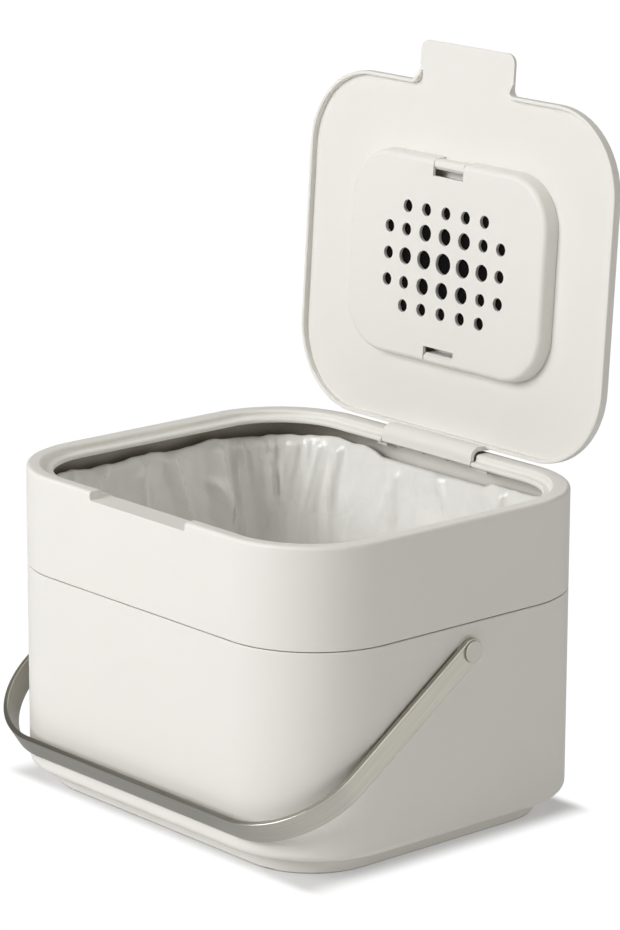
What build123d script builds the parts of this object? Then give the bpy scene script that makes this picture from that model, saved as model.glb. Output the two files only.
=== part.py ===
# Stackable waste bin: bucket with a lift-off collar, hinged lid with an odour filter, liner and bail.
# Millimetres. X runs left to right, Y front to back, Z up; the origin is on the floor under the middle.
# The lid stands open and the bail hangs at the front, which is the rest pose.
import os
from math import cos, radians, sin

from build123d import *

os.makedirs("parts", exist_ok=True)

# Whole body
body_width = 234.0
body_depth = 195.0
body_corner = 49.5
rim_height = 160.0
seam_height = 110.8
seam_gap = 0.3
seat_clearance = 0.3
cut_margin = 1.0

# Bucket
bucket_wall = 2.4
floor_thickness = 2.6
plinth_height = 10.2
plinth_inset = 14.0
plinth_edge = 1.2
base_edge = 4.0
seam_edge = 0.7
neck_inset = 6.8
neck_wall = 2.2
neck_height = 144.0
neck_round = 0.8

# Collar
collar_wall = 2.3
deck_thickness = 2.6
rim_edge = 1.8
land_front = 7.0
land_side = 8.5
land_rear = 9.5
ledge_drop = 3.2
ledge_inset = 13.2
ledge_nose = 1.2
land_edge = 1.4
land_foot = 2.2
notch_width = 70.0
notch_depth = 4.2
notch_corner = 1.2
notch_margin = 2.0

# Lid, seen as it lies when closed
lid_width = 215.0
lid_length = 172.6
lid_corner = 41.5
lid_plate = 2.2
lip_height = 3.0
lip_width = 1.8
lip_round = 0.6
lip_rise = 1.0
lip_fade = 4.5
lid_back_edge = 1.4
lid_rear_gap = 7.2
lid_lean = 3.6
tab_width = 65.6
tab_length = 19.8
tab_corner = 5.0
tab_root = 3.0

# Hinge
hinge_back = 5.8
hinge_drop = 5.2
pin_diameter = 3.0
pin_running_fit = 0.08
knuckle_length = 64.0
knuckle_wall = 2.2
knuckle_reach = 7.2
knuckle_bend = 5.2
knuckle_rise = 3.4
knuckle_foot = 0.6
knuckle_lip = 1.0
knuckle_side_gap = 0.5
knuckle_below_gap = 0.6
knuckle_root = 0.8
web_thickness = 2.2
web_spacing = 17.0
web_count = 4
stop_gap = 0.1
cheek_length = 7.0
pin_grip = 6.0
pin_end_gap = 0.3
pin_chamfer = 0.3

# Filter cover, its holes and its snap windows
cover_width = 139.0
cover_height = 102.0
cover_corner = 26.0
cover_depth = 8.0
cover_gap = 0.2
cover_wall = 1.8
cover_draft = 8.0
cover_edge = 2.6
hole_rows = [
    (24.9, [0.0, 13.8, 27.2], [6.4, 6.4, 6.4]),
    (13.3, [0.0, 13.8, 27.2, 39.4], [8.4, 8.4, 6.4, 6.4]),
    (0.0, [0.0, 13.8, 27.2, 39.4], [10.5, 9.4, 8.4, 6.4]),
    (-13.3, [0.0, 13.8, 27.2, 39.4], [8.4, 8.4, 6.4, 6.4]),
    (-24.9, [0.0, 13.8, 27.2], [6.4, 6.4, 6.4]),
]
window_width = 21.2
window_height = 8.8
hook_thickness = 4.8
hook_gap = 0.3
hook_round = 2.0
hook_lead = 1.6
hook_inset = 0.8
locating_rib = 1.4
rib_clearance = 0.6
locating_rib_height = 3.2

# Air vent and carbon filter
vent_slot_width = 3.4
vent_slot_length = 30.0
vent_slot_count = 6
vent_slot_pitch = 8.0
vent_travel = 4.0
shutter_width = 58.0
shutter_height = 46.0
shutter_thickness = 1.2
shutter_corner = 4.0
shutter_clearance = 0.3
rail_wall = 1.4
rail_lip = 1.6
rail_lip_thickness = 0.8
knob_width = 9.0
knob_height = 4.6
knob_rise = 1.6
knob_round = 0.5
knob_corner = 1.2
knob_offset = 19.0
filter_width = 108.0
filter_height = 78.0
filter_corner = 20.0
filter_rib = 1.2
filter_rib_height = 2.4

# Bail and its pivots
pivot_y = 3.5
pivot_drop = 12.5
bail_strap = 12.0
bail_thickness = 2.6
bail_bend = 45.0
bail_rest_angle = 34.7
bail_edge = 0.5
spacer_diameter = 13.5
spacer_thickness = 0.9
spacer_clearance = 0.2
rivet_shank = 5.0
rivet_fit = 0.1
rivet_head = 10.4
rivet_head_thickness = 1.0
rivet_head_edge = 0.4
washer_diameter = 11.0
washer_thickness = 1.2
rivet_tail = 7.6
rivet_tail_thickness = 1.0

# Liner
liner_thickness = 0.6
liner_cuff = 24.0
liner_foot_inset = 20.0
liner_foot_corner = 26.0

# Places worked out from the sizes above
half_width = body_width / 2
half_depth = body_depth / 2
ledge_height = rim_height - ledge_drop
ledge_underside = ledge_height - deck_thickness
land_inner_width = body_width - 2 * land_side
land_inner_depth = body_depth - land_front - land_rear
land_inner_middle = (land_front - land_rear) / 2
land_inner_corner = body_corner - land_side
hinge_y = half_depth - hinge_back
hinge_z = rim_height - hinge_drop
lean_sine = sin(radians(lid_lean))
lean_cosine = cos(radians(lid_lean))
lip_above_hinge = ledge_height + seat_clearance - hinge_z

# The lid's own plane: its origin is at the middle of the rear edge, in the plane of the lip's top.
# Its X is the bin's X, its Y climbs the lid to the tab and its Z points at the bin's inside.
lid_origin = (
    0,
    hinge_y + lid_rear_gap * lean_sine + lip_above_hinge * lean_cosine,
    hinge_z + lid_rear_gap * lean_cosine - lip_above_hinge * lean_sine,
)
lid_plane = Plane(origin=lid_origin, x_dir=(1, 0, 0), z_dir=(0, -lean_cosine, lean_sine))
lid_middle = lid_length / 2
lid_inside = -lip_height
lid_outside = -lip_height - lid_plate
cover_base = lid_inside + cover_gap
cover_face = cover_base + cover_depth
shutter_back = lid_inside + shutter_clearance
rail_lip_back = shutter_back + shutter_thickness + shutter_clearance
rail_top = rail_lip_back + rail_lip_thickness
filter_back = rail_top + seat_clearance
filter_front = cover_face - cover_wall - seat_clearance

# The lid's section plane: its X climbs the lid, its Y points at the bin's inside.
lid_section = Plane(origin=lid_origin, x_dir=(0, lean_sine, lean_cosine), z_dir=(1, 0, 0))

# The hinge's section plane: its X points at the bin's inside, its Y climbs the lid.
hinge_section = Plane(
    origin=(0, hinge_y, hinge_z),
    x_dir=(0, -lean_cosine, lean_sine),
    z_dir=(-1, 0, 0),
)
hinge_line = Plane(origin=(0, hinge_y, hinge_z), x_dir=(0, 1, 0), z_dir=(1, 0, 0))
slot_width = knuckle_length + 2 * knuckle_side_gap
pin_length = slot_width + 2 * pin_grip
eye_radius = (hinge_back - collar_wall - stop_gap - hinge_drop * lean_sine) / lean_cosine
cheek_foot = hinge_z - eye_radius
slot_foot = hinge_z - knuckle_reach - knuckle_below_gap
slot_reach = hinge_back + knuckle_rise + knuckle_bend + knuckle_below_gap
pivot_z = seam_height - pivot_drop
shoulder_height = pivot_z + washer_diameter / 2 + seat_clearance
neck_foot = seam_height - seam_gap / 2 - bucket_wall
plate_face = -lip_above_hinge - lip_height
bend_reach = knuckle_reach - knuckle_bend
knuckle_top = knuckle_rise + knuckle_bend
rib_inset = cover_wall + cover_gap + rib_clearance
rail_foot = shutter_height / 2 + shutter_clearance
washer_face = half_width - bucket_wall - washer_thickness
liner_inset = neck_inset + neck_wall + seat_clearance

# The bail's plane: its Y runs from the pivots to the front bar.
bail_cosine = cos(radians(bail_rest_angle))
bail_sine = sin(radians(bail_rest_angle))
bail_plane = Plane(origin=(0, pivot_y, pivot_z), x_dir=(1, 0, 0), z_dir=(0, bail_sine, -bail_cosine))
bail_inner = half_width + spacer_thickness + spacer_clearance
bail_outer = bail_inner + bail_thickness
bail_rest_y = half_depth + pivot_y + seat_clearance + bail_strap / 2 * bail_sine
bail_reach = bail_rest_y / bail_cosine + bail_thickness


def body_outline(inset, mode=Mode.ADD):
    """Draw the bin's rounded plan, set in from its outer wall."""
    RectangleRounded(
        body_width - 2 * inset, body_depth - 2 * inset, body_corner - inset, mode=mode
    )


def land_outline(inset, mode=Mode.ADD):
    """Draw the inner edge of the collar's land, set further in."""
    with Locations((0, land_inner_middle)):
        RectangleRounded(
            land_inner_width - 2 * inset,
            land_inner_depth - 2 * inset,
            land_inner_corner - inset,
            mode=mode,
        )


def cover_outline(inset, mode=Mode.ADD):
    """Draw the filter cover's outline at its base, set in from its edge."""
    with Locations((0, lid_middle)):
        RectangleRounded(
            cover_width - 2 * inset, cover_height - 2 * inset, cover_corner - inset, mode=mode
        )


def filter_outline(inset, mode=Mode.ADD):
    """Draw the carbon filter's outline, set in from its edge."""
    with Locations((0, lid_middle)):
        RectangleRounded(
            filter_width - 2 * inset, filter_height - 2 * inset, filter_corner - inset, mode=mode
        )


def vent_slots():
    """Draw the row of vent slots that the lid and the shutter share."""
    with Locations((0, lid_middle)):
        with GridLocations(vent_slot_pitch, 0, vent_slot_count, 1):
            SlotOverall(vent_slot_length, vent_slot_width, rotation=90)


def liner_foot(inset):
    """Draw the bottom of the liner, set in from its outside."""
    RectangleRounded(
        body_width - 2 * liner_foot_inset - 2 * inset,
        body_depth - 2 * liner_foot_inset - 2 * inset,
        liner_foot_corner - inset,
    )


def lid_outline():
    """Draw the lid's outline with its tab, as it lies on the ledge."""
    with Locations((0, lid_middle)):
        RectangleRounded(lid_width, lid_length, lid_corner)
        Rectangle(tab_width, lid_middle + tab_length, align=(Align.CENTER, Align.MIN))
    fillet(vertices().group_by(Axis.Y)[-1], tab_corner)
    roots = vertices().filter_by(is_tab_root)
    fillet(roots.group_by(Axis.Y)[-1], tab_root)


def is_tab_root(corner):
    """Find the corners along the tab's sides, up to where the tab leaves the lid."""
    return abs(abs(corner.X) - tab_width / 2) < 0.01 and corner.Y < lid_length + 0.01


def from_lid_middle(corner):
    """Measure how far a corner of the lid's section lies from the lid's middle."""
    return abs(corner.X - lid_middle)


def lid_normal(shape):
    """Measure how far a face or edge lies towards the bin's inside, from the lid's plane."""
    return lid_plane.to_local_coords(shape.center()).Z


def is_strap_edge(edge):
    """Find the long edges of the bail's strap, which lie on its two broad sides' rims."""
    height = abs(bail_plane.to_local_coords(edge.center()).Z)
    return height > bail_strap / 2 - 0.01


# Bucket: plinth, straight walls, shoulder and the neck that the collar slides over
with BuildPart() as bucket:
    with BuildSketch(Plane.XY):
        body_outline(plinth_inset)
    extrude(amount=plinth_height)
    fillet(bucket.edges().group_by(Axis.Z)[0], plinth_edge)
    with BuildSketch(Plane.XY.offset(plinth_height)):
        body_outline(0)
    extrude(amount=seam_height - seam_gap / 2 - plinth_height)
    fillet(bucket.faces().sort_by(Axis.Z)[-1].edges(), seam_edge)
    underside = bucket.faces().filter_by(Plane.XY).sort_by(Axis.Z)[1]
    fillet(underside.outer_wire().edges(), base_edge)
    with BuildSketch(Plane.XY.offset(seam_height - seam_gap / 2)):
        body_outline(neck_inset)
    extrude(amount=neck_height - seam_height + seam_gap / 2)
    with BuildSketch(Plane.XY.offset(floor_thickness)):
        body_outline(plinth_inset + bucket_wall)
    extrude(amount=plinth_height, mode=Mode.SUBTRACT)
    with BuildSketch(Plane.XY.offset(plinth_height + bucket_wall)):
        body_outline(bucket_wall)
    extrude(amount=shoulder_height - plinth_height - bucket_wall, mode=Mode.SUBTRACT)
    with BuildSketch(Plane.XY.offset(shoulder_height)):
        body_outline(bucket_wall)
    with BuildSketch(Plane.XY.offset(neck_foot)):
        body_outline(neck_inset + neck_wall)
    loft(ruled=True, mode=Mode.SUBTRACT)
    with BuildSketch(Plane.XY.offset(neck_foot)):
        body_outline(neck_inset + neck_wall)
    extrude(amount=neck_height, mode=Mode.SUBTRACT)
    fillet(bucket.faces().sort_by(Axis.Z)[-1].edges(), neck_round)
    with BuildSketch(Plane.YZ):
        with Locations((pivot_y, pivot_z)):
            Circle(rivet_shank / 2)
    extrude(amount=body_width, both=True, mode=Mode.SUBTRACT)
bucket.part.label = "bucket"
export_step(bucket.part, "parts/bucket.step")

# Collar: outer wall, land, stepped ledge for the lid, tab notch and hinge cheeks
with BuildPart() as collar:
    with BuildSketch(Plane.XY.offset(seam_height + seam_gap / 2)):
        body_outline(0)
    extrude(amount=rim_height - seam_height - seam_gap / 2)
    fillet(collar.edges().group_by(Axis.Z)[-1], rim_edge)
    fillet(collar.edges().group_by(Axis.Z)[0], seam_edge)
    with BuildSketch(Plane.XY.offset(seam_height)):
        body_outline(collar_wall)
    extrude(amount=ledge_underside - seam_height, mode=Mode.SUBTRACT)
    with BuildSketch(Plane.XY.offset(ledge_height)):
        land_outline(0)
    extrude(amount=rim_height, mode=Mode.SUBTRACT)
    step_edges = collar.edges(Select.LAST).group_by(Axis.Z)
    fillet(step_edges[0] + step_edges[-1], land_edge)
    with BuildSketch(Plane.XY.offset(ledge_underside - cut_margin)):
        body_outline(ledge_inset)
    extrude(amount=rim_height, mode=Mode.SUBTRACT)
    fillet(collar.edges(Select.LAST).filter_by(Axis.Z, reverse=True), ledge_nose)
    with BuildSketch(Plane.XY.offset(ledge_underside - cut_margin)):
        body_outline(collar_wall)
        land_outline(-land_foot, mode=Mode.SUBTRACT)
    extrude(amount=ledge_drop + cut_margin, mode=Mode.SUBTRACT)
    with BuildSketch(Plane.XY.offset(ledge_underside)):
        with Locations((0, -half_depth + collar_wall / 2)):
            Rectangle(
                notch_width + 2 * notch_margin,
                land_front - (collar_wall + land_foot) / 2,
                align=(Align.CENTER, Align.MIN),
            )
    extrude(amount=ledge_drop + deck_thickness / 2)
    with BuildSketch(Plane.XZ.offset(half_depth - 2 * land_front)):
        with Locations((0, rim_height)):
            Rectangle(notch_width, 2 * notch_depth)
        fillet(vertices(), notch_corner)
    extrude(amount=3 * land_front, mode=Mode.SUBTRACT)
    with BuildSketch(Plane.XY.offset(cheek_foot)):
        with Locations((0, half_depth - collar_wall / 2)):
            Rectangle(
                slot_width + 2 * cheek_length,
                hinge_back + eye_radius - collar_wall / 2,
                align=(Align.CENTER, Align.MAX),
            )
    extrude(amount=rim_height - deck_thickness / 2 - cheek_foot)
    with BuildSketch(Plane.XY.offset(slot_foot)):
        with Locations((0, half_depth - collar_wall)):
            Rectangle(slot_width, slot_reach - collar_wall, align=(Align.CENTER, Align.MAX))
    extrude(amount=rim_height, mode=Mode.SUBTRACT)
    with BuildSketch(hinge_line):
        Circle(pin_diameter / 2)
    extrude(amount=pin_length / 2, both=True, mode=Mode.SUBTRACT)
collar.part.label = "collar"
export_step(collar.part, "parts/collar.step")

# Hinge pin: a plain steel rod held in the collar's cheeks
with BuildPart() as hinge_pin:
    with BuildSketch(hinge_line):
        Circle(pin_diameter / 2)
    extrude(amount=pin_length / 2 - pin_end_gap, both=True)
    chamfer(hinge_pin.edges().filter_by(GeomType.CIRCLE), pin_chamfer)
hinge_pin.part.label = "hinge_pin"
export_step(hinge_pin.part, "parts/hinge_pin.step")

# Lid: plate with a rounded back, tab, raised lip, goose-neck knuckle, vent and filter fittings
with BuildPart() as lid:
    with BuildSketch(lid_plane.offset(lid_outside)):
        lid_outline()
    extrude(amount=lid_plate)
    fillet(lid.faces().filter_by(lid_plane).sort_by(lid_normal)[0].edges(), lid_back_edge)
    with BuildSketch(lid_plane.offset(lid_inside)):
        lid_outline()
        offset(amount=-lip_width, mode=Mode.SUBTRACT)
        with Locations((0, lid_length + lip_rise + lip_fade)):
            Rectangle(tab_width, tab_length, align=(Align.CENTER, Align.MIN), mode=Mode.SUBTRACT)
    extrude(amount=lip_height)
    fillet(lid.faces().filter_by(lid_plane).sort_by(lid_normal)[-1].edges(), lip_round)
    with BuildSketch(lid_section):
        with BuildLine():
            Polyline(
                (lid_length + lip_rise, 0),
                (lid_length + lip_rise + lip_fade, lid_inside),
                (lid_length + lip_rise + lip_fade + cut_margin, lid_inside),
                (lid_length + lip_rise + lip_fade + cut_margin, cut_margin),
                (lid_length + lip_rise, cut_margin),
                close=True,
            )
        make_face()
    extrude(amount=tab_width, both=True, mode=Mode.SUBTRACT)
    with BuildSketch(hinge_section):
        with BuildLine():
            CenterArc((bend_reach, knuckle_rise), knuckle_bend, 0, 90)
            CenterArc((bend_reach, knuckle_rise), knuckle_bend - knuckle_wall, 0, 90)
            Polyline(
                (knuckle_reach, knuckle_rise),
                (knuckle_reach, -knuckle_foot),
                (knuckle_reach - knuckle_wall, -knuckle_foot),
                (knuckle_reach - knuckle_wall, knuckle_rise),
            )
            Polyline(
                (bend_reach, knuckle_top),
                (plate_face - lid_plate / 2, knuckle_top),
                (plate_face - lid_plate / 2, knuckle_top - knuckle_wall),
                (bend_reach, knuckle_top - knuckle_wall),
            )
        make_face()
        fillet(vertices().group_by(Axis.Y)[0], knuckle_lip)
        with Locations((plate_face, knuckle_top)):
            Rectangle(knuckle_root, knuckle_root, align=(Align.MIN, Align.MIN))
        with Locations((plate_face + knuckle_root, knuckle_top + knuckle_root)):
            Circle(knuckle_root, mode=Mode.SUBTRACT)
    extrude(amount=knuckle_length / 2, both=True)
    for web in range(web_count):
        web_place = (web - (web_count - 1) / 2) * web_spacing
        with BuildSketch(hinge_section.offset(web_place)):
            Circle(eye_radius)
            with Locations((-eye_radius, 0)):
                Rectangle(
                    eye_radius + bend_reach,
                    knuckle_top - knuckle_wall / 2,
                    align=(Align.MIN, Align.MIN),
                )
                Rectangle(
                    eye_radius + knuckle_reach - knuckle_wall / 2,
                    knuckle_rise,
                    align=(Align.MIN, Align.MIN),
                )
            with Locations((bend_reach, knuckle_rise)):
                Circle(knuckle_bend - knuckle_wall / 2)
        extrude(amount=web_thickness / 2, both=True)
    with BuildSketch(hinge_section):
        Circle(pin_diameter / 2 + pin_running_fit)
    extrude(amount=knuckle_length, both=True, mode=Mode.SUBTRACT)
    with BuildSketch(lid_plane.offset(lid_inside)):
        cover_outline(rib_inset)
        cover_outline(rib_inset + locating_rib, mode=Mode.SUBTRACT)
    extrude(amount=locating_rib_height)
    with BuildSketch(lid_section):
        with Locations((lid_middle, lid_inside)):
            with GridLocations(cover_height - 2 * hook_inset - hook_thickness, 0, 2, 1):
                Rectangle(
                    hook_thickness,
                    cover_face - hook_gap - lid_inside,
                    align=(Align.CENTER, Align.MIN),
                )
        hook_corners = vertices().group_by(Axis.Y)[-1].sort_by(from_lid_middle)
        fillet(hook_corners[2:], hook_round)
        hook_corners = vertices().group_by(Axis.Y)[-1].sort_by(from_lid_middle)
        chamfer(hook_corners[:2], hook_lead)
    extrude(amount=window_width / 2 - hook_gap, both=True)
    with BuildSketch(lid_section):
        for side in (-1, 1):
            with Locations((lid_middle + side * (rail_foot + rail_wall / 2), lid_inside)):
                Rectangle(rail_wall, rail_top - lid_inside, align=(Align.CENTER, Align.MIN))
            with Locations((lid_middle + side * (rail_foot + (rail_wall - rail_lip) / 2), rail_lip_back)):
                Rectangle(rail_wall + rail_lip, rail_lip_thickness, align=(Align.CENTER, Align.MIN))
    extrude(amount=shutter_width / 2, both=True)
    with BuildSketch(lid_plane.offset(lid_outside)):
        vent_slots()
        with Locations((vent_travel / 2, lid_middle + knob_offset)):
            Rectangle(knob_width + vent_travel + 2 * shutter_clearance, knob_height + 2 * shutter_clearance)
    extrude(amount=lid_plate, mode=Mode.SUBTRACT)
lid.part.label = "lid"
export_step(lid.part, "parts/lid.step")

# Vent shutter: slotted slide behind the vent, with the thumb bar that comes out through the lid
with BuildPart() as vent_shutter:
    with BuildSketch(lid_plane.offset(shutter_back)):
        with Locations((0, lid_middle)):
            Rectangle(shutter_width, shutter_height)
        fillet(vertices(), shutter_corner)
    extrude(amount=shutter_thickness)
    with BuildSketch(lid_plane.offset(shutter_back)):
        vent_slots()
    extrude(amount=shutter_thickness, mode=Mode.SUBTRACT)
    with BuildSketch(lid_plane.offset(lid_outside - knob_rise)):
        with Locations((0, lid_middle + knob_offset)):
            RectangleRounded(knob_width, knob_height, knob_corner)
    extrude(amount=shutter_back - lid_outside + knob_rise)
    fillet(vent_shutter.faces().filter_by(lid_plane).sort_by(lid_normal)[0].edges(), knob_round)
vent_shutter.part.label = "vent_shutter"
export_step(vent_shutter.part, "parts/vent_shutter.step")

# Carbon filter: a block of carbon foam held between the rails and the cover
with BuildPart() as carbon_filter:
    with BuildSketch(lid_plane.offset(filter_back)):
        filter_outline(0)
    extrude(amount=filter_front - filter_back)
carbon_filter.part.label = "carbon_filter"
export_step(carbon_filter.part, "parts/carbon_filter.step")

# Filter cover: drafted shell with its pattern of holes, snap windows and a rib round the filter
with BuildPart() as filter_cover:
    with BuildSketch(lid_plane.offset(cover_base)):
        cover_outline(0)
    extrude(amount=cover_depth, taper=cover_draft)
    fillet(filter_cover.faces().filter_by(lid_plane).sort_by(lid_normal)[-1].edges(), cover_edge)
    cover_mouth = filter_cover.faces().filter_by(lid_plane).sort_by(lid_normal)[0]
    offset(amount=-cover_wall, openings=cover_mouth)
    with BuildSketch(lid_plane.offset(cover_face - cover_wall - filter_rib_height)):
        filter_outline(-seat_clearance - filter_rib)
        filter_outline(-seat_clearance, mode=Mode.SUBTRACT)
    extrude(amount=filter_rib_height + cover_wall / 2)
    with BuildSketch(lid_plane.offset(cover_face)):
        for height, places, diameters in hole_rows:
            for place, diameter in zip(places, diameters):
                with Locations((place, lid_middle + height), (-place, lid_middle + height)):
                    Circle(diameter / 2)
    extrude(amount=-2 * cover_wall, mode=Mode.SUBTRACT)
    with BuildSketch(lid_plane.offset(cover_base - cut_margin)):
        with Locations((0, lid_middle)):
            with GridLocations(0, cover_height, 1, 2):
                Rectangle(window_width, 2 * window_height)
    extrude(amount=cover_depth + 2 * cut_margin, mode=Mode.SUBTRACT)
filter_cover.part.label = "filter_cover"
export_step(filter_cover.part, "parts/filter_cover.step")

# Bail handle: a flat strap bent to a U, with round ends bored for the rivets
with BuildPart() as bail_handle:
    with BuildSketch(bail_plane):
        RectangleRounded(2 * bail_outer, 2 * bail_reach, bail_bend)
        RectangleRounded(
            2 * bail_inner,
            2 * (bail_reach - bail_thickness),
            bail_bend - bail_thickness,
            mode=Mode.SUBTRACT,
        )
        Rectangle(3 * bail_outer, 2 * bail_reach, align=(Align.CENTER, Align.MAX), mode=Mode.SUBTRACT)
    extrude(amount=bail_strap / 2, both=True)
    with BuildSketch(Plane.YZ.offset(bail_inner)):
        with Locations((pivot_y, pivot_z)):
            Circle(bail_strap / 2)
    extrude(amount=bail_thickness)
    with BuildSketch(Plane.YZ.offset(-bail_inner)):
        with Locations((pivot_y, pivot_z)):
            Circle(bail_strap / 2)
    extrude(amount=-bail_thickness)
    fillet(bail_handle.edges().filter_by(is_strap_edge), bail_edge)
    with BuildSketch(Plane.YZ):
        with Locations((pivot_y, pivot_z)):
            Circle(rivet_shank / 2 + rivet_fit)
    extrude(amount=2 * bail_outer, both=True, mode=Mode.SUBTRACT)
bail_handle.part.label = "bail_handle"
export_step(bail_handle.part, "parts/bail_handle.step")

# Pivot fittings of the right side: spacer, rivet and backing washer
with BuildPart() as spacer_right:
    with BuildSketch(Plane.YZ.offset(half_width)):
        with Locations((pivot_y, pivot_z)):
            Circle(spacer_diameter / 2)
            Circle(rivet_shank / 2, mode=Mode.SUBTRACT)
    extrude(amount=spacer_thickness)
with BuildPart() as washer_right:
    with BuildSketch(Plane.YZ.offset(half_width - bucket_wall)):
        with Locations((pivot_y, pivot_z)):
            Circle(washer_diameter / 2)
            Circle(rivet_shank / 2, mode=Mode.SUBTRACT)
    extrude(amount=-washer_thickness)
with BuildPart() as rivet_right:
    with BuildSketch(Plane.YZ.offset(washer_face - rivet_tail_thickness)):
        with Locations((pivot_y, pivot_z)):
            Circle(rivet_tail / 2)
    extrude(amount=rivet_tail_thickness)
    with BuildSketch(Plane.YZ.offset(washer_face)):
        with Locations((pivot_y, pivot_z)):
            Circle(rivet_shank / 2)
    extrude(amount=bail_outer + rivet_fit - washer_face)
    with BuildSketch(Plane.YZ.offset(bail_outer + rivet_fit)):
        with Locations((pivot_y, pivot_z)):
            Circle(rivet_head / 2)
    extrude(amount=rivet_head_thickness)
    fillet(rivet_right.edges().group_by(Axis.X)[-1], rivet_head_edge)
    fillet(rivet_right.edges().group_by(Axis.X)[0], rivet_head_edge)

# Both sides of the pivot fittings: the left ones mirror the right ones
for fitting, name in ((spacer_right, "spacer"), (washer_right, "washer"), (rivet_right, "rivet")):
    fitting.part.label = name + "_right"
    export_step(fitting.part, "parts/" + name + "_right.step")
    with BuildPart() as left_fitting:
        mirror(fitting.part, about=Plane.YZ)
    left_fitting.part.label = name + "_left"
    export_step(left_fitting.part, "parts/" + name + "_left.step")

# Liner bag: a thin bag hung in the bucket, with its cuff folded over the neck
with BuildPart() as liner_bag:
    with BuildSketch(Plane.XY.offset(neck_height - liner_cuff)):
        body_outline(neck_inset - seat_clearance - liner_thickness)
    extrude(amount=liner_cuff + seat_clearance + liner_thickness)
    with BuildSketch(Plane.XY.offset(neck_height - liner_cuff)):
        body_outline(neck_inset - seat_clearance)
    extrude(amount=liner_cuff + seat_clearance, mode=Mode.SUBTRACT)
    with BuildSketch(Plane.XY.offset(floor_thickness + seat_clearance)):
        liner_foot(0)
    with BuildSketch(Plane.XY.offset(shoulder_height)):
        body_outline(liner_inset)
    loft(ruled=True)
    with BuildSketch(Plane.XY.offset(shoulder_height)):
        body_outline(liner_inset)
    extrude(amount=neck_height + seat_clearance + liner_thickness - shoulder_height)
    with BuildSketch(Plane.XY.offset(floor_thickness + seat_clearance + liner_thickness)):
        liner_foot(liner_thickness)
    with BuildSketch(Plane.XY.offset(shoulder_height)):
        body_outline(liner_inset + liner_thickness)
    loft(ruled=True, mode=Mode.SUBTRACT)
    with BuildSketch(Plane.XY.offset(shoulder_height)):
        body_outline(liner_inset + liner_thickness)
    extrude(amount=neck_height, mode=Mode.SUBTRACT)
liner_bag.part.label = "liner_bag"
export_step(liner_bag.part, "parts/liner_bag.step")
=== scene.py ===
"""Finishes, liner film, studio and camera for a stackable waste bin with a hinged lid."""

import math
import random

import bmesh
import bpy
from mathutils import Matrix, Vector, noise


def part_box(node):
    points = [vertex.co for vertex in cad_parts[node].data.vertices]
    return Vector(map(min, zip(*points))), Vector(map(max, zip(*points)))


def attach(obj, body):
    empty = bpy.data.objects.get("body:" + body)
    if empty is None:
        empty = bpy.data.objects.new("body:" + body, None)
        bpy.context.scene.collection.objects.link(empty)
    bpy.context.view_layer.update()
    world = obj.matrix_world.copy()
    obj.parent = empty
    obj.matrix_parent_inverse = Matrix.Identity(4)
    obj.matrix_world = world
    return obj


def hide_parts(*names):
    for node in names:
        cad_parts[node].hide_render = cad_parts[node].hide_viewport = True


bl_info = {
    "name": "Stackable waste bin",
    "version": (1, 0, 0),
    "blender": (4, 5, 0),
    "location": "View3D > Sidebar > Waste bin",
    "description": "Finishes, liner film, studio and camera of a stackable waste bin",
    "category": "Object",
}

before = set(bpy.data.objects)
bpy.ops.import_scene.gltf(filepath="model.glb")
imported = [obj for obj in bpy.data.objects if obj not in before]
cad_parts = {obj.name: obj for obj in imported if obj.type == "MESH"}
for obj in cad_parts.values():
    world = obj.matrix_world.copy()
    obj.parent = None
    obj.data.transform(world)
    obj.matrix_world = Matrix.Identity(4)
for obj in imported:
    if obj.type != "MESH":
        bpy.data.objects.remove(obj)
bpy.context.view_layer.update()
MM = 0.001


def corners_mm(node):
    """Give a node's lowest and highest corners in millimetres."""
    low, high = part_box(node)
    return Vector(low) / MM, Vector(high) / MM


# Sizes of the bin as the CAD has them, in millimetres
BODY_CORNER = 49.5
PLINTH_INSET = 14.0
BAIL_PIVOT = Vector((0, 3.5, 98.33))
STRAP_WIDTH = 12.0
STRAP_BEND = 45.0

# Places of the fixed frame that the film and the floor are set out from, in millimetres
BUCKET_HIGH = corners_mm("bucket")[1]
FILM_LOW, FILM_HIGH = corners_mm("liner_bag")
HALF_WIDTH = BUCKET_HIGH.x
HALF_DEPTH = BUCKET_HIGH.y
FOOT_HALF = Vector((HALF_WIDTH - PLINTH_INSET, HALF_DEPTH - PLINTH_INSET))
NECK_TOP = BUCKET_HIGH.z
RIM_TOP = corners_mm("collar")[1].z

# The painted shade in the slot under the ledge, in millimetres: how far a point looks for what
# shuts it in, how far below the rim the slot starts, which takes in the ledge's underside, how far
# down the neck it counts, and from where to where across X the painted shade gets lighter
SLOT_SIGHT = 30.0
SLOT_START = 5.7
SLOT_DEPTH = 12.0
SLOT_DARK_X = -90.0
SLOT_LIGHT_X = -15.0

# The film's way from its hem over the neck and down to the floor, in millimetres. Within the
# hinge's reach it lies flat on the neck's rear edge.
FILM_SKIN = 0.25
NECK_SPAN = 3.4
CREST_RISE = 0.9
HEM_RISE = 117.4
TURN_DROP = 1.0
WALL_SLACK = 0.8
FLOOR_RISE = 1.0
FLOOR_RIPPLE = 0.4
BASE_INSET = 9.0
HINGE_REACH = 36.0
HINGE_EASE = 10.0
HEM_WAVE = 1.5
WELD_REACH = 0.02

# Sizes of the film's uneven waves in millimetres, and which slice of the noise some of them use
SWELL_SIZE = 26.0
SWELL_SLICE = 3.1
RIPPLE_SIZE = 6.0
RIPPLE_SLICE = 7.7
BILLOW_SIZE = 30.0
BILLOW_DEPTH = 30.0
CREASE_SIZE = (13.0, 13.0, 26.0)
SMALL_CREASE_SIZE = (6.0, 6.0, 9.0)
SMALL_CREASE_SHIFT = Vector((9, 4, 2))

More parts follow.
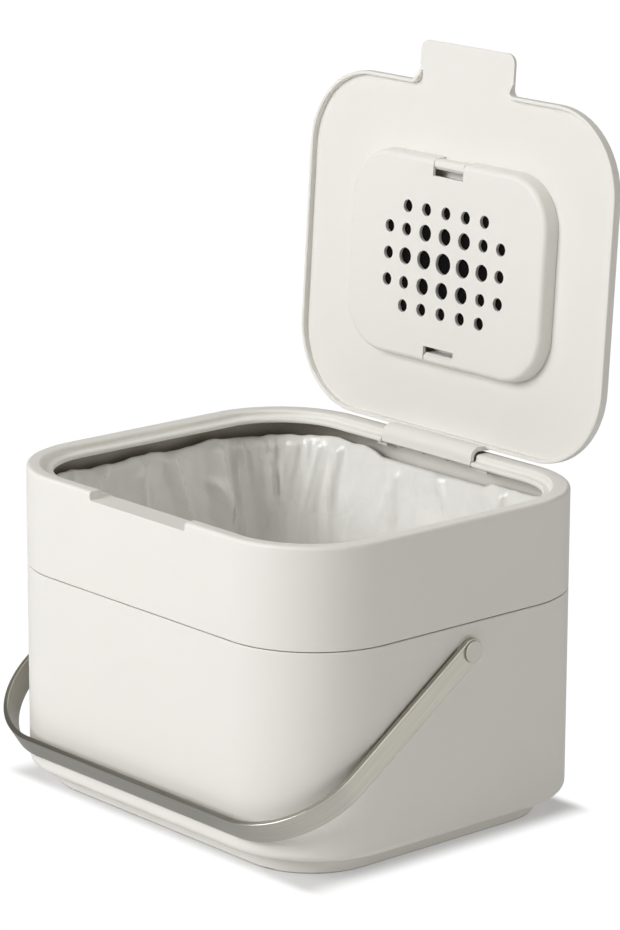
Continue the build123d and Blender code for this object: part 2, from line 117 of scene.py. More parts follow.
# Rows of the film's section: up the cuff, over the crest, down the wall and over the floor,
# and how many rows past the crest the creases take to come in
CUFF_ROWS = 9
CREST_ROWS = 10
WALL_ROWS = 22
FLOOR_ROWS = 10
CREST_ROW = CUFF_ROWS + CREST_ROWS // 2
EASE_ROWS = 8

# The main folds: place along the side, lean, width before and after the fold's ridge, height,
# top and length, all but the lean in millimetres
LEFT_FOLDS = (
    (41.0, -0.11, 1.6, 11.0, 5.0, 0.0, 110.0),
    (13.0, -0.25, 1.4, 9.0, 3.0, 0.0, 70.0),
    (24.0, -0.6, 11.0, 2.0, 3.4, 16.0, 34.0),
    (-7.0, 0.0, 1.5, 6.0, 1.6, 5.0, 60.0),
    (-32.0, 0.7, 2.0, 7.0, 2.6, 0.0, 30.0),
    (-52.0, 0.3, 5.0, 4.0, 2.5, 0.0, 50.0),
)
REAR_FOLDS = (
    (-66.0, 0.1, 3.0, 8.0, 3.0, 0.0, 80.0),
    (-22.0, 0.2, 8.0, 6.0, 1.6, 4.0, 50.0),
    (6.0, -0.5, 5.0, 5.0, 1.8, 0.0, 26.0),
    (52.0, 0.1, 2.5, 6.0, 2.2, 0.0, 60.0),
)
CORNER_PLEATS = 5
REAR_LEFT_PLEATS = 14
LOOSE_FOLDS = 34
FOLD_TOP_EASE = 3.0

# The studio: the floor's half side in metres, the strength that is even white with a little to
# spare, and from where to where across X the floor's painted reflection gets lighter, its painted
# shade fading, in metres
FLOOR_HALF = 4.0
WHITE = 1.02
FLOOR_DARK_X = 0.03
FLOOR_LIGHT_X = 0.13
FLOOR_RIGHT = 0.95
PAPER_TONE = 0.8
SHADED_PAPER_TONE = 0.5
ROOM_EDGE = 0.75
LAMP_AIM = Vector((0, 0, 0.15))


# Colours and nodes


def linear(code):
    """Turn an sRGB hex code into the linear colour that a shader reads."""
    channels = [int(code[place : place + 2], 16) / 255 for place in (1, 3, 5)]
    return tuple(
        channel / 12.92 if channel <= 0.04045 else ((channel + 0.055) / 1.055) ** 2.4
        for channel in channels
    )


def add_node(tree, kind, fields=None, values=None, links=None):
    """Add a node, set its fields and its sockets' values, and link its sockets."""
    node = tree.nodes.new(kind)
    for field, value in (fields or {}).items():
        setattr(node, field, value)
    for socket, value in (values or {}).items():
        node.inputs[socket].default_value = value
    for socket, source in (links or {}).items():
        tree.links.new(source, node.inputs[socket])
    return node


def start_material(name, colour, values):
    """Start a material and return it with its tree, its shader and its object coordinates."""
    material = bpy.data.materials.new(name)
    material.use_nodes = True
    tree = material.node_tree
    shader = tree.nodes["Principled BSDF"]
    shader.inputs["Base Color"].default_value = (*linear(colour), 1)
    for socket, value in values.items():
        shader.inputs[socket].default_value = value
    place = tree.nodes.new("ShaderNodeTexCoord").outputs["Object"]
    return material, tree, shader, place


def noise_of(tree, place, size_mm, detail=2.0, roughness=0.5):
    """Add a noise whose main waves are as wide as a real size."""
    values = {"Scale": 1 / (size_mm * MM), "Detail": detail, "Roughness": roughness}
    return add_node(tree, "ShaderNodeTexNoise", None, values, {"Vector": place}).outputs["Fac"]


def spread(tree, value, low, high):
    """Spread a value from 0 to 1 over a range."""
    limits = {"To Min": low, "To Max": high}
    return add_node(tree, "ShaderNodeMapRange", None, limits, {"Value": value}).outputs["Result"]


def shade(tree, shader, value, colour, low, high):
    """Let a value vary the base colour between two shades of it."""
    tone = add_node(
        tree,
        "ShaderNodeMix",
        {"data_type": "RGBA"},
        {
            6: (*(low * channel for channel in linear(colour)), 1),
            7: (*(min(1.0, high * channel) for channel in linear(colour)), 1),
        },
        {0: value},
    )
    tree.links.new(tone.outputs[2], shader.inputs["Base Color"])


def bump(tree, shader, height, depth_mm):
    """Feed a height to a shader as bump of a real depth."""
    relief = add_node(
        tree, "ShaderNodeBump", None, {"Distance": depth_mm * MM}, {"Height": height}
    )
    tree.links.new(relief.outputs["Normal"], shader.inputs["Normal"])


# Materials


def slot_shade_mask(tree, place):
    """Give how much painted shade a point gets in the slot between the ledge and the neck, by how
    deep it is tucked away.

    The painted shade counts in full on the left and fades towards the middle. Only heights between
    the neck's upper end and the ledge's underside count."""
    sky = add_node(
        tree, "ShaderNodeAmbientOcclusion", {"samples": 8}, {"Distance": SLOT_SIGHT * MM}
    ).outputs["AO"]
    shut = add_node(
        tree,
        "ShaderNodeMapRange",
        None,
        {"From Min": 0.75, "From Max": 0.35},
        {"Value": sky},
    ).outputs["Result"]
    parts = add_node(tree, "ShaderNodeSeparateXYZ", None, None, {"Vector": place}).outputs
    reach = {"From Min": SLOT_DARK_X * MM, "From Max": SLOT_LIGHT_X * MM}
    leftness = add_node(
        tree,
        "ShaderNodeMapRange",
        None,
        {**reach, "To Min": 1.0, "To Max": 0.2},
        {"Value": parts["X"]},
    ).outputs["Result"]
    shut = add_node(
        tree, "ShaderNodeMath", {"operation": "MULTIPLY"}, None, {0: shut, 1: leftness}
    ).outputs["Value"]
    limits = (("GREATER_THAN", NECK_TOP - SLOT_DEPTH), ("LESS_THAN", RIM_TOP - SLOT_START))
    for operation, limit in limits:
        within = add_node(
            tree, "ShaderNodeMath", {"operation": operation}, {1: limit * MM}, {0: parts["Z"]}
        ).outputs["Value"]
        shut = add_node(
            tree, "ShaderNodeMath", {"operation": "MULTIPLY"}, None, {0: shut, 1: within}
        ).outputs["Value"]
    return shut


def moulded_plastic(name, settings, gap_shade_reach):
    """Polypropylene, injection moulded in a spark-eroded tool: a warm white with an even satin
    sheen, a grain that is only just seen as such, and slow, faint flow marks. A gap shade reach
    paints shade into the colour: the narrow gaps of the body go dark and brown, the slot under the
    ledge darker still."""
    material, tree, shader, place = start_material(name, settings.colour, {"IOR": 1.49})
    flow = noise_of(tree, place, settings.flow_size, detail=2.0, roughness=0.45)
    shade(tree, shader, flow, settings.colour, low=0.985, high=1.01)
    # Painted shade: ambient occlusion darkens the gaps towards the brown shade colour, and the
    # slot under the ledge darker still
    if gap_shade_reach:
        unshaded = shader.inputs["Base Color"].links[0].from_socket
        open_sky = add_node(
            tree, "ShaderNodeAmbientOcclusion", {"samples": 8}, {"Distance": gap_shade_reach * MM}
        ).outputs["AO"]
        limits = {"From Min": 0.05, "From Max": 0.45}
        painted_gap_shade = add_node(tree, "ShaderNodeMapRange", None, limits, {"Value": open_sky})
        painted_slot_shade = slot_shade_mask(tree, place)
        tone = add_node(
            tree,
            "ShaderNodeMix",
            {"data_type": "RGBA"},
            {6: (*linear(settings.gap_shade_colour), 1)},
            {0: painted_gap_shade.outputs["Result"], 7: unshaded},
        )
        tone = add_node(
            tree,
            "ShaderNodeMix",
            {"data_type": "RGBA"},
            {7: (*linear(settings.gap_shade_colour), 1)},
            {0: painted_slot_shade, 6: tone.outputs[2]},
        )
        tree.links.new(tone.outputs[2], shader.inputs["Base Color"])
    grain = noise_of(tree, place, settings.grain_size, detail=3.0, roughness=0.6)
    rough = spread(tree, grain, settings.roughness - 0.05, settings.roughness + 0.05)
    tree.links.new(rough, shader.inputs["Roughness"])
    bump(tree, shader, grain, settings.grain_depth)
    return material


def strap_frame(tree, place, settings):
    """Give a point's way out from the strap's bends and its height across the strap.

    The hanging bail is flat: its arms and its bar lie in one tilted plane. The way out is
    zero along a straight's own direction, so what is square to it runs along the strap."""
    low, high = corners_mm("bail_handle")
    tilt = math.radians(settings.strap_angle)
    half_across = STRAP_WIDTH / 2
    reach = (BAIL_PIVOT.y - low.y - half_across * math.sin(tilt)) / math.cos(tilt)
    flat = add_node(
        tree,
        "ShaderNodeVectorRotate",
        {"rotation_type": "X_AXIS"},
        {"Center": BAIL_PIVOT * MM, "Angle": -tilt},
        {"Vector": place},
    ).outputs["Vector"]
    parts = add_node(tree, "ShaderNodeSeparateXYZ", None, None, {"Vector": flat}).outputs

    def number(operation, first, second=None):
        node = add_node(tree, "ShaderNodeMath", {"operation": operation})
        for socket, value in enumerate((first, second)):
            if isinstance(value, (int, float)):
                node.inputs[socket].default_value = value
            elif value is not None:
                tree.links.new(value, node.inputs[socket])
        return node.outputs["Value"]

    aside = number("SUBTRACT", number("ABSOLUTE", parts["X"]), (high.x - STRAP_BEND) * MM)
    aside = number("MULTIPLY", number("MAXIMUM", aside, 0.0), number("SIGN", parts["X"]))
    bend_y = (BAIL_PIVOT.y - reach + STRAP_BEND) * MM
    ahead = number("MINIMUM", number("SUBTRACT", parts["Y"], bend_y), 0.0)
    out = add_node(tree, "ShaderNodeCombineXYZ", None, None, {"X": aside, "Y": ahead})
    return out.outputs["Vector"], parts, tilt


def brushed_steel(settings):
    """Stainless steel strip, brushed along its length before it was bent: long fine scratches
    that draw each highlight out across the strap, drawn coarser than real ones."""
    material, tree, shader, place = start_material(
        "brushed_stainless_strip",
        settings.colour,
        {
            "Metallic": 1.0,
            "Anisotropic": settings.brushing,
            "Anisotropic Rotation": 0.25,
        },
    )
    out, flat, tilt = strap_frame(tree, place, settings)
    along = add_node(
        tree,
        "ShaderNodeVectorMath",
        {"operation": "CROSS_PRODUCT"},
        {1: (0, 0, 1)},
        {0: out},
    ).outputs["Vector"]
    along = add_node(
        tree,
        "ShaderNodeVectorRotate",
        {"rotation_type": "X_AXIS"},
        {"Center": (0, 0, 0), "Angle": tilt},
        {"Vector": along},
    ).outputs["Vector"]
    along = add_node(
        tree,
        "ShaderNodeVectorTransform",
        {"vector_type": "NORMAL", "convert_from": "OBJECT", "convert_to": "WORLD"},
        None,
        {"Vector": along},
    ).outputs["Vector"]
    tree.links.new(along, shader.inputs["Tangent"])
    outwards = add_node(
        tree, "ShaderNodeVectorMath", {"operation": "LENGTH"}, None, {0: out}
    ).outputs["Value"]
    across = add_node(
        tree, "ShaderNodeMath", {"operation": "ADD"}, None, {0: outwards, 1: flat["Z"]}
    ).outputs["Value"]
    across = add_node(
        tree,
        "ShaderNodeMath",
        {"operation": "MULTIPLY"},
        {1: settings.scratch_length / settings.scratch_width},
        {0: across},
    ).outputs["Value"]
    drawn = add_node(
        tree, "ShaderNodeCombineXYZ", None, None, {"X": flat["X"], "Y": flat["Y"], "Z": across}
    ).outputs["Vector"]
    scratches = noise_of(tree, drawn, settings.scratch_length, detail=4.0, roughness=0.7)
    shade(tree, shader, scratches, settings.colour, low=0.7, high=1.25)
    rough = spread(tree, scratches, settings.roughness - 0.08, settings.roughness + 0.1)
    tree.links.new(rough, shader.inputs["Roughness"])
    bump(tree, shader, scratches, settings.scratch_depth)
    return material


def turned_steel(settings):
    """Stainless rivet stock, turned and tumbled: the same steel as the strap with a finer,
    softer surface that has no direction."""
    material, tree, shader, place = start_material(
        "tumbled_stainless_rivet", settings.rivet_colour, {"Metallic": 1.0}
    )
    tumbled = noise_of(tree, place, size_mm=0.5, detail=3.0, roughness=0.6)
    shade(tree, shader, tumbled, settings.rivet_colour, low=0.92, high=1.05)
    tree.links.new(spread(tree, tumbled, low=0.3, high=0.42), shader.inputs["Roughness"])
    bump(tree, shader, tumbled, depth_mm=0.01)
    return material


def nylon(settings):
    """Natural nylon spacers, moulded: a slightly translucent off-white with a soft gloss."""
    material, tree, shader, place = start_material(
        "natural_moulded_nylon", settings.spacer_colour, {"IOR": 1.53}
    )
    cloud = noise_of(tree, place, size_mm=4.0)
    shade(tree, shader, cloud, settings.spacer_colour, low=0.96, high=1.03)
    tree.links.new(spread(tree, cloud, low=0.38, high=0.46), shader.inputs["Roughness"])
    return material


def carbon_foam(settings):
    """Activated carbon on open-cell foam: a dead black with pores under a millimetre."""
    material, tree, shader, place = start_material(
        "activated_carbon_foam", settings.colour, {"Specular IOR Level": 0.08, "Roughness": 0.95}
    )
    pores = add_node(
        tree,
        "ShaderNodeTexVoronoi",
        {"feature": "F1"},
        {"Scale": 1 / (settings.pore_size * MM)},
        {"Vector": place},
    ).outputs["Distance"]
    shade(tree, shader, pores, settings.colour, low=0.4, high=1.6)
    bump(tree, shader, pores, settings.pore_size / 2)
    return material


def facets(tree, place, size_mm):
    """Give the height of flat facets with sharp folds between them, as creased film has."""
    drift = add_node(
        tree, "ShaderNodeTexNoise", None, {"Scale": 0.6 / (size_mm * MM)}, {"Vector": place}
    ).outputs["Color"]
    warped = add_node(
        tree,
        "ShaderNodeVectorMath",
        {"operation": "MULTIPLY_ADD"},
        {1: (size_mm * MM,) * 3},
        {0: drift, 2: place},
    ).outputs["Vector"]
    cell = add_node(
        tree, "ShaderNodeTexVoronoi", None, {"Scale": 1 / (size_mm * MM)}, {"Vector": warped}
    ).outputs
    tilt = add_node(
        tree,
        "ShaderNodeVectorMath",
        {"operation": "MULTIPLY_ADD"},
        {1: (2, 2, 2), 2: (-1, -1, -1)},
        {0: cell["Color"]},
    ).outputs["Vector"]
    away = add_node(
        tree,
        "ShaderNodeVectorMath",
        {"operation": "SUBTRACT"},
        None,
        {0: warped, 1: cell["Position"]},
    ).outputs["Vector"]
    return add_node(
        tree, "ShaderNodeVectorMath", {"operation": "DOT_PRODUCT"}, None, {0: tilt, 1: away}
    ).outputs["Value"]


def film(settings):
    """Low-density polyethylene film, blown and milky: light comes through it, a soft gloss
    picks out each crease, and flat facets with sharp folds between them break the gloss up.
    It also glows faintly in its own colour, a painted glow."""
    material, tree, shader, place = start_material(
        "milky_polyethylene_film",
        settings.colour,
        {
            "IOR": 1.51,
            "Alpha": settings.cover,
            # Painted glow: the film glows faintly in its own colour, standing in for light that
            # comes through it and bounces inside the bin
            "Emission Color": (*linear(settings.colour), 1),
            "Emission Strength": settings.painted_glow,
        },
    )
    drawn = add_node(
        tree,
        "ShaderNodeMapping",
        None,
        {"Scale": (1, 1, settings.crinkle_stretch)},
        {"Vector": place},
    ).outputs["Vector"]
    large = facets(tree, drawn, settings.crinkle_size)
    fine = facets(tree, drawn, settings.crinkle_size / 2.6)
    both = add_node(
        tree, "ShaderNodeMath", {"operation": "MULTIPLY_ADD"}, {1: 0.25}, {0: fine, 2: large}
    ).outputs["Value"]
    back = add_node(tree, "ShaderNodeSeparateXYZ", None, None, {"Vector": place}).outputs["Y"]
    slope = add_node(
        tree,
        "ShaderNodeMapRange",
        None,
        {
            "From Min": (HALF_DEPTH - 50) * MM,
            "From Max": (HALF_DEPTH - 20) * MM,
            "To Min": settings.crinkle_slope,
            "To Max": settings.crinkle_slope / 3,
        },
        {"Value": back},
    ).outputs["Result"]
    soft = noise_of(tree, place, size_mm=9.0, detail=3.0, roughness=0.55)
    shade(tree, shader, soft, settings.colour, low=0.96, high=1.02)
    tree.links.new(spread(tree, soft, low=0.15, high=0.28), shader.inputs["Roughness"])
    relief = add_node(tree, "ShaderNodeBump", None, None, {"Height": both, "Distance": slope})
    tree.links.new(relief.outputs["Normal"], shader.inputs["Normal"])
    return material


def dress(nodes, material):
    """Give CAD nodes a material in the place of the plain one that they were packed with."""
    for name in nodes:
        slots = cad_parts[name].data.materials
        slots.clear()
        slots.append(material)


# Liner film


def smooth_step(value):
    """Ease a share from 0 to 1."""
    value = min(1.0, max(0.0, value))
    return value * value * (3 - 2 * value)


class Outline:
    """A rounded rectangle about the origin, walked from its front middle towards +X."""

    def __init__(self, half_width, half_depth, corner):
        self.flat_x = half_width - corner
        self.flat_y = half_depth - corner
        self.corner = corner
        self.arc = math.pi / 2 * corner
        self.length = 4 * (self.flat_x + self.flat_y + self.arc)

    def at(self, walked):
        """Give the point and the outward direction at a distance walked."""
        quarters = (
            (self.flat_x, (0, -1), (1, 0), self.flat_x),
            (2 * self.flat_y, (1, 0), (0, 1), self.flat_y),
            (2 * self.flat_x, (0, 1), (-1, 0), self.flat_x),
            (2 * self.flat_y, (-1, 0), (0, -1), self.flat_y),
            (self.flat_x, (0, -1), (1, 0), 0.0),
        )
        walked = walked % self.length
        for number, (flat, out, along, flat_end) in enumerate(quarters):
            out, along = Vector(out), Vector(along)
            reach = self.flat_y if out.x == 0 else self.flat_x
            if walked <= flat or number == len(quarters) - 1:
                side = out * (reach + self.corner) + along * (flat_end - flat + walked)
                return side, out
            walked -= flat
            if walked <= self.arc:
                turn = walked / self.corner
                middle = out * reach + along * flat_end
                direction = out * math.cos(turn) + along * math.sin(turn)
                return middle + direction * self.corner, direction
            walked -= self.arc


def film_profile(settings, loft):
    """List the film's section from its hem outside the neck to the middle of its floor.

    Each station is its inset from the body's wall, its height and its share of the foot's
    outline, in millimetres."""
    outside = HALF_WIDTH - FILM_HIGH.x + FILM_SKIN
    inside = outside + NECK_SPAN + settings.film_gap
    crest = NECK_TOP + CREST_RISE + loft
    turn = NECK_TOP - TURN_DROP
    hem = FILM_LOW.z + HEM_RISE
    stations = []
    for step in range(CUFF_ROWS):
        stations.append((outside, hem + (turn - hem) * step / (CUFF_ROWS - 1), 1.0))
    turn_middle = (outside + inside) / 2
    turn_reach = (inside - outside) / 2
    for step in range(1, CREST_ROWS):
        angle = math.pi * step / CREST_ROWS
        across = turn_middle - turn_reach * math.cos(angle)
        stations.append((across, turn + (crest - turn) * math.sin(angle), 1.0))
    stations.append((inside, turn, 1.0))
    low = NECK_TOP - settings.fine_depth
    for step in range(1, settings.fine_rows + 1):
        share = step / settings.fine_rows
        stations.append((inside + WALL_SLACK * share, turn + (low - turn) * share, 1.0))
    foot = FILM_LOW.z + FLOOR_RISE
    for step in range(1, WALL_ROWS + 1):
        share = step / WALL_ROWS
        inset = inside + WALL_SLACK + (settings.foot_inset - inside) * share**1.2
        stations.append((inset, low + (foot - low) * (1 - (1 - share) ** 1.15), 1.0))
    for step in range(1, FLOOR_ROWS + 1):
        height = foot - FLOOR_RIPPLE * math.sin(step)
        stations.append((WALL_SLACK + settings.foot_inset, height, 1 - step / FLOOR_ROWS))
    return stations


def list_folds(settings, outline):
    """List the bag's folds: the main ones, the pleats of the corners and the loose ones."""
    draw = random.Random(settings.seed)
    rear = outline.flat_x + 2 * outline.flat_y + 2 * outline.arc
    left = outline.flat_x + 2 * outline.flat_y + 2 * outline.flat_x + 3 * outline.arc
    folds = [(left + outline.flat_y - y, *fold) for y, *fold in LEFT_FOLDS]
    folds += [(rear + outline.flat_x - x, *fold) for x, *fold in REAR_FOLDS]
    corners = (
        (outline.flat_x, CORNER_PLEATS),
        (outline.flat_x + outline.arc + 2 * outline.flat_y, CORNER_PLEATS),
        (rear + 2 * outline.flat_x, REAR_LEFT_PLEATS),
        (left + 2 * outline.flat_y, CORNER_PLEATS),
    )
    for start, count in corners:
        for number in range(count):
            folds.append(
                (
                    start + outline.arc * (number + draw.uniform(0.2, 0.8)) / count,
                    draw.uniform(-0.25, 0.25),
                    draw.uniform(1.2, 3.0),
                    draw.uniform(2.0, 5.0),
                    draw.uniform(1.2, 3.2),
                    0.0,
                    draw.uniform(22.0, 80.0),
                )
            )
    for number in range(LOOSE_FOLDS):
        folds.append(
            (
                draw.uniform(0, outline.length),
                draw.uniform(-0.6, 0.6),
                draw.uniform(1.0, 5.0),
                draw.uniform(1.5, 7.0),
                draw.uniform(0.4, 1.3),
                draw.uniform(0.0, 60.0),
                draw.uniform(15.0, 50.0),
            )
        )
    return folds


def fold_reach(settings, outline, folds, walked, depth):
    """Give how far the folds bring the film in from the wall at a place and a depth."""
    total = 0.0
    for place, lean, before, after, height, top, length in folds:
        if not top - FOLD_TOP_EASE < depth < top + length:
            continue
        away = (walked - place - lean * depth + outline.length / 2) % outline.length
        away -= outline.length / 2
        width = before if away < 0 else after
        if abs(away) >= width:
            continue
        along = (depth - top) / length
        begun = smooth_step((depth - top + FOLD_TOP_EASE) / 5)
        fade = begun * (1 - smooth_step(along)) ** 0.7
        total += settings.fold_depth * height * fade * (1 - abs(away) / width) ** 1.25
    return total


def over(place, sizes):
    """Divide a place by a size along each axis."""
    return Vector([along / size for along, size in zip(place, sizes)])


def creases(settings, place, depth):
    """Give how far the bag's billows and its small creases bring the film in from the wall."""
    billow = 0.5 + 0.5 * noise.noise(place / BILLOW_SIZE)
    crease = abs(noise.noise(over(place, CREASE_SIZE)))
    small = abs(noise.noise(over(place, SMALL_CREASE_SIZE) + SMALL_CREASE_SHIFT))
    return (
        settings.billow * billow * smooth_step(depth / BILLOW_DEPTH)
        + settings.crumple * (1 - 2.2 * crease)
        + 0.45 * settings.crumple * (1 - 2 * small)
    )


def hang_film(settings):
    """Make the bag: a grid wrapped round the neck, folded over it and let down to the floor."""
    outline = Outline(
        HALF_WIDTH - BASE_INSET, HALF_DEPTH - BASE_INSET, BODY_CORNER - BASE_INSET
    )
    folds = list_folds(settings, outline)
    last_row = len(film_profile(settings, 0.0)) - 1
    mesh = bpy.data.meshes.new("liner_film")
    sheet = bmesh.new()
    bmesh.ops.create_grid(sheet, x_segments=settings.around, y_segments=last_row, size=0.5)
    for vertex in sheet.verts:
        walked = (vertex.co.x + 0.5) * outline.length
        row = round((vertex.co.y + 0.5) * last_row)
        point, out = outline.at(walked)
        swell = noise.noise(Vector((*(point / SWELL_SIZE), SWELL_SLICE)))
        ripple = noise.noise(Vector((*(point / RIPPLE_SIZE), RIPPLE_SLICE)))
        loft = max(0.0, settings.loft * (0.6 + 0.55 * swell + 0.22 * ripple))
        if point.y > 0:
            loft *= smooth_step((abs(point.x) - HINGE_REACH) / HINGE_EASE)
        inset, height, share = film_profile(settings, loft)[row]
        if row < CUFF_ROWS:
            height += HEM_WAVE * ripple * (1 - row / (CUFF_ROWS - 1))
        elif row > CREST_ROW:
            depth = NECK_TOP - height
            eased = smooth_step((row - CREST_ROW) / EASE_ROWS)
            place = Vector((point.x, point.y, height))
            reach = fold_reach(settings, outline, folds, walked, depth)
            inset += max(0.0, reach + eased * creases(settings, place, depth)) * share
        moved = point + out * (BASE_INSET - inset)
        vertex.co = Vector((moved.x * share, moved.y * share, height)) * MM
    bmesh.ops.remove_doubles(sheet, verts=sheet.verts, dist=WELD_REACH * MM)
    bmesh.ops.recalc_face_normals(sheet, faces=sheet.faces)
    for face in sheet.faces:
        face.smooth = True
    sheet.to_mesh(mesh)
    sheet.free()
    piece = bpy.data.objects.new("liner_film", mesh)
    bpy.context.scene.collection.objects.link(piece)
    wall = piece.modifiers.new("Film thickness", "SOLIDIFY")
    wall.thickness = settings.thickness * MM
    wall.offset = 0
    mesh.materials.append(film(settings))
    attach(piece, "liner")
    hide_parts("liner_bag")
    return piece


# Settings that a user would change


class PlasticSettings(bpy.types.PropertyGroup):
    """The bin's moulded plastic."""

    colour: bpy.props.StringProperty(
        name="Colour", description="sRGB hex of the plastic", default="#EAE8E3"
    )
    roughness: bpy.props.FloatProperty(
        name="Roughness", description="Mean roughness", default=0.5, min=0.1, max=1
    )
    grain_size: bpy.props.FloatProperty(
        name="Grain size", description="Spark-eroded grain, mm", default=0.5, min=0.1
    )
    grain_depth: bpy.props.FloatProperty(
        name="Grain depth", description="Depth of the grain, mm", default=0.012, min=0
    )
    flow_size: bpy.props.FloatProperty(
        name="Flow size", description="Width of the flow marks, mm", default=70, min=5
    )
    # Painted shade in the gaps: how far a point looks for what shuts it in, and the colour of the
    # shade
    gap_shade_reach: bpy.props.FloatProperty(
        name="Gap depth", description="Width of a gap that goes dark, mm", default=9, min=0
    )
    gap_shade_colour: bpy.props.StringProperty(
        name="Gap colour", description="sRGB hex of the plastic in a gap", default="#7A7264"
    )


class SteelSettings(bpy.types.PropertyGroup):
    """The bail's brushed strap, its rivets and its spacers."""

    colour: bpy.props.StringProperty(
        name="Strap colour", description="sRGB hex of the strap", default="#B2AFA6"
    )
    rivet_colour: bpy.props.StringProperty(
        name="Rivet colour", description="sRGB hex of the rivets", default="#B4B1A9"
    )
    spacer_colour: bpy.props.StringProperty(
        name="Spacer colour", description="sRGB hex of the spacers", default="#D9D7D2"
    )
    roughness: bpy.props.FloatProperty(
        name="Roughness", description="Mean roughness", default=0.3, min=0.05, max=1
    )
    brushing: bpy.props.FloatProperty(
        name="Brushing", description="How far the scratches draw highlights out", default=0.75
    )
    scratch_width: bpy.props.FloatProperty(
        name="Scratch width", description="Width of a brushed line, mm", default=0.45, min=0.02
    )
    scratch_length: bpy.props.FloatProperty(
        name="Scratch length", description="Length of a brushed line, mm", default=45, min=1
    )
    scratch_depth: bpy.props.FloatProperty(
        name="Scratch depth", description="Depth of a brushed line, mm", default=0.012, min=0
    )
    strap_angle: bpy.props.FloatProperty(
        name="Strap angle", description="Slope of the hanging strap, degrees", default=34.7
    )


class FoamSettings(bpy.types.PropertyGroup):
    """The carbon filter."""

    colour: bpy.props.StringProperty(
        name="Colour", description="sRGB hex of the foam", default="#0F0E0E"
    )
    pore_size: bpy.props.FloatProperty(
        name="Pore size", description="Size of a pore, mm", default=0.9, min=0.2
    )


class FilmSettings(bpy.types.PropertyGroup):
    """The liner bag."""

    colour: bpy.props.StringProperty(
        name="Colour", description="sRGB hex of the film", default="#F4F3EF"
    )
    cover: bpy.props.FloatProperty(
        name="Cover", description="How much one layer hides", default=0.9, min=0, max=1
    )
    # Painted glow: strength of the film's faint glow in its own colour
    painted_glow: bpy.props.FloatProperty(
        name="Soaked light", description="Light that comes through from behind", default=0.02
    )
    crinkle_size: bpy.props.FloatProperty(
        name="Crinkle size", description="Width of a creased facet, mm", default=27, min=1
    )
    crinkle_stretch: bpy.props.FloatProperty(
        name="Crinkle stretch", description="A facet's width over its height", default=0.6
    )
    crinkle_slope: bpy.props.FloatProperty(
        name="Crinkle slope", description="Steepness of the facets", default=0.15, min=0
    )
    thickness: bpy.props.FloatProperty(
        name="Thickness", description="Thickness of the film, mm", default=0.1, min=0.02
    )
    film_gap: bpy.props.FloatProperty(
        name="Film gap", description="Slack across the neck's edge, mm", default=0.2, min=0
    )
    loft: bpy.props.FloatProperty(
        name="Loft", description="How far the fold stands off the neck, mm", default=4.5, min=0
    )
    fold_depth: bpy.props.FloatProperty(
        name="Fold depth", description="How much deeper the folds are drawn", default=1.3, min=0
    )
    billow: bpy.props.FloatProperty(
        name="Billow", description="How far the bag stands off the walls, mm", default=3.5, min=0
    )
    crumple: bpy.props.FloatProperty(
        name="Crumple", description="Height of the small creases, mm", default=0.65, min=0
    )
    foot_inset: bpy.props.FloatProperty(
        name="Foot inset", description="Inset of the bag's floor, mm", default=20, min=10
    )
    fine_depth: bpy.props.FloatProperty(
        name="Fine depth", description="Depth of the finely folded band, mm", default=56, min=20
    )
    fine_rows: bpy.props.IntProperty(
        name="Fine rows", description="Rows of faces in that band", default=38, min=8
    )
    around: bpy.props.IntProperty(
        name="Faces around", description="Faces round the bag", default=460, min=60
    )
    seed: bpy.props.IntProperty(name="Seed", description="Draw of the folds", default=7)


class StudioSettings(bpy.types.PropertyGroup):
    """The floor, the lights and the camera."""

    azimuth: bpy.props.FloatProperty(
        name="Azimuth", description="Camera's turn from the front, degrees", default=48.749
    )
    elevation: bpy.props.FloatProperty(
        name="Elevation", description="Camera's height angle, degrees", default=14.741
    )
    roll: bpy.props.FloatProperty(name="Roll", description="Camera's roll, degrees", default=0.222)
    distance: bpy.props.FloatProperty(
        name="Distance", description="Camera to target", default=1.895, subtype="DISTANCE"
    )
    target: bpy.props.FloatVectorProperty(
        name="Target", description="Point looked at", default=(0.01037, 0, 0.1655), subtype="XYZ"
    )
    lens: bpy.props.FloatProperty(name="Lens", description="Focal length, mm", default=231.4)
    world_level: bpy.props.FloatProperty(
        name="World level", description="Strength of the even surround", default=0.17, min=0
    )
    room_left: bpy.props.FloatProperty(
        name="Room left", description="The surround's left in reflections", default=0.22, min=0
    )
    room_right: bpy.props.FloatProperty(
        name="Room right", description="The surround's right in reflections", default=0.9, min=0
    )
    # Painted shade: brightness of the floor's painted reflection on its left
    floor_left: bpy.props.FloatProperty(
        name="Floor left", description="The floor's left in reflections", default=0.52, min=0
    )
    warm_colour: bpy.props.StringProperty(
        name="Warm colour", description="sRGB hex of the surround and the fill", default="#FFFCF5"
    )
    shadow_reach: bpy.props.FloatProperty(
        name="Shadow reach", description="How far the shadow is seen, mm", default=18, min=1
    )
    shadow_front: bpy.props.FloatProperty(
        name="Shadow front", description="How much sooner it ends before the bin", default=2.0
    )
    shadow_lift: bpy.props.FloatProperty(
        name="Shadow lift", description="How far the shadow is lifted", default=0.3, min=0
    )
    key_power: bpy.props.FloatProperty(
        name="Key power", description="Front-left softbox", default=46, subtype="POWER"
    )
    top_power: bpy.props.FloatProperty(
        name="Top power", description="Overhead softbox", default=9, subtype="POWER"
    )
    fill_power: bpy.props.FloatProperty(
        name="Fill power", description="Right-hand softbox", default=10, subtype="POWER"
    )


# Operators


class WASTEBIN_OT_finish_body(bpy.types.Operator):
    """Give the bucket and the collar their moulded plastic, with painted shade in its gaps"""

    bl_idname = "wastebin.finish_body"
    bl_label = "Finish the body"

    def execute(self, context):
        settings = context.scene.wastebin_plastic
        plastic = moulded_plastic("warm_white_body_polypropylene", settings, settings.gap_shade_reach)
        dress(["bucket", "collar"], plastic)
        return {"FINISHED"}


